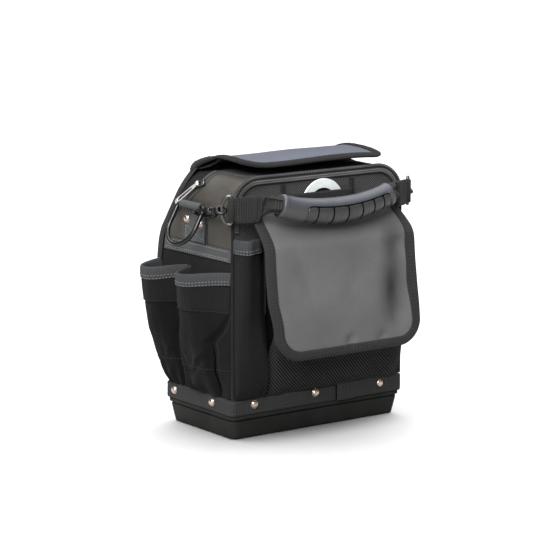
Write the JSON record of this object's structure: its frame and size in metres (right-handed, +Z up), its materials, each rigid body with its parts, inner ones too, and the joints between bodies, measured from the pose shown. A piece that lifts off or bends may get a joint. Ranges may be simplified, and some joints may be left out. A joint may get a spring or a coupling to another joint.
{
  "type": "tool bag",
  "caption": "Upright tool bag on a moulded base: cloth body, open side pockets, coated front and top flaps, curved hand grip on webbing straps, snap hooks on carrying rings.",
  "frame": {"origin": "middle of the base tub's flat underside", "axes": "+X to the right seen from the front, -Y towards the front flap, +Z up"},
  "size_m": [0.3454, 0.2112, 0.351],
  "materials": {
    "base_plastic": "moulded, finely grained, satin",
    "body_fabric": "heavy woven nylon",
    "webbing_black": "woven binding tape and webbing",
    "webbing_grey": "woven webbing with paler stitches",
    "flap_coated": "smooth coated cloth",
    "end_taupe": "fine woven cloth",
    "rivet_metal": "polished, slightly worn",
    "hardware_black": "dark gunmetal, glossy",
    "zip_metal": "warm silver",
    "grip_rubber": "moulded soft rubber with ribs",
    "ring_metal": "pale satin"
  },
  "bodies": {
    "root": {"base_tub": "base_plastic", "front_panel": "body_fabric", "slot_pocket": "body_fabric", "front_pocket": "body_fabric", "corner_pocket": "body_fabric", "top_gusset": "body_fabric", "back_cover": "body_fabric", "side_pocket_rear": "body_fabric", "side_pocket_front": "body_fabric", "end_panel_left": "body_fabric", "end_panel_right": "body_fabric", "rear_gusset_left": "body_fabric", "rear_gusset_right": "body_fabric", "bottom_webbing": "webbing_black", "front_zip": "webbing_black", "slot_hem": "webbing_black", "front_flap_binding": "webbing_black", "top_flap_binding": "webbing_black", "back_binding_left": "webbing_black", "back_binding_right": "webbing_black", "strap_left": "webbing_black", "strap_right": "webbing_black", "corner_pocket_hem": "webbing_grey", "side_pocket_rear_hem": "webbing_grey", "side_pocket_front_hem": "webbing_grey", "end_strip_left": "webbing_grey", "end_strip_right": "webbing_grey", "tab_left": "webbing_grey", "tab_right": "webbing_grey", "front_flap": "flap_coated", "top_flap": "flap_coated", "end_gusset_left": "end_taupe", "end_gusset_right": "end_taupe", "rivet_front_left": "rivet_metal", "rivet_front_middle": "rivet_metal", "rivet_front_right": "rivet_metal", "rivet_back_left": "rivet_metal", "rivet_back_middle": "rivet_metal", "rivet_back_right": "rivet_metal", "rivet_left_rear": "rivet_metal", "rivet_left_front": "rivet_metal", "rivet_right_rear": "rivet_metal", "rivet_right_front": "rivet_metal", "tab_rivet_rear_left": "rivet_metal", "tab_rivet_rear_right": "rivet_metal", "tab_rivet_front_left": "rivet_metal", "tab_rivet_front_right": "rivet_metal", "d_ring_left": "hardware_black", "d_ring_right": "hardware_black", "small_ring_left": "hardware_black", "small_ring_right": "hardware_black", "hook_left": "hardware_black", "hook_right": "hardware_black", "zip_slider": "zip_metal", "grip": "grip_rubber", "metal_ring": "ring_metal"},
    "zip_pull": {"zip_pull": "zip_metal"},
    "gate_left": {"gate_left": "hardware_black"},
    "gate_right": {"gate_right": "hardware_black"}
  },
  "joints": [
    {"name": "zip_pull_hinge", "type": "hinge", "parent": "root", "child": "zip_pull", "pos_m": [-0.1315, 0.004, 0.316], "axis": [0.2999, 0.5567, 0.7747], "range_deg": [0, 150]},
    {"name": "hook_gate_left", "type": "hinge", "parent": "root", "child": "gate_left", "pos_m": [-0.15354, -0.0529, 0.29234], "axis": [-0.4834, -0.1346, -0.865], "range_deg": [0, 20], "stiffness_Nm_per_rad": 0.05, "springref_deg": -11.46},
    {"name": "hook_gate_right", "type": "hinge", "parent": "root", "child": "gate_right", "pos_m": [0.15354, -0.0529, 0.29234], "axis": [-0.4834, 0.1346, 0.865], "range_deg": [0, 20], "stiffness_Nm_per_rad": 0.05, "springref_deg": -11.46}
  ]
}
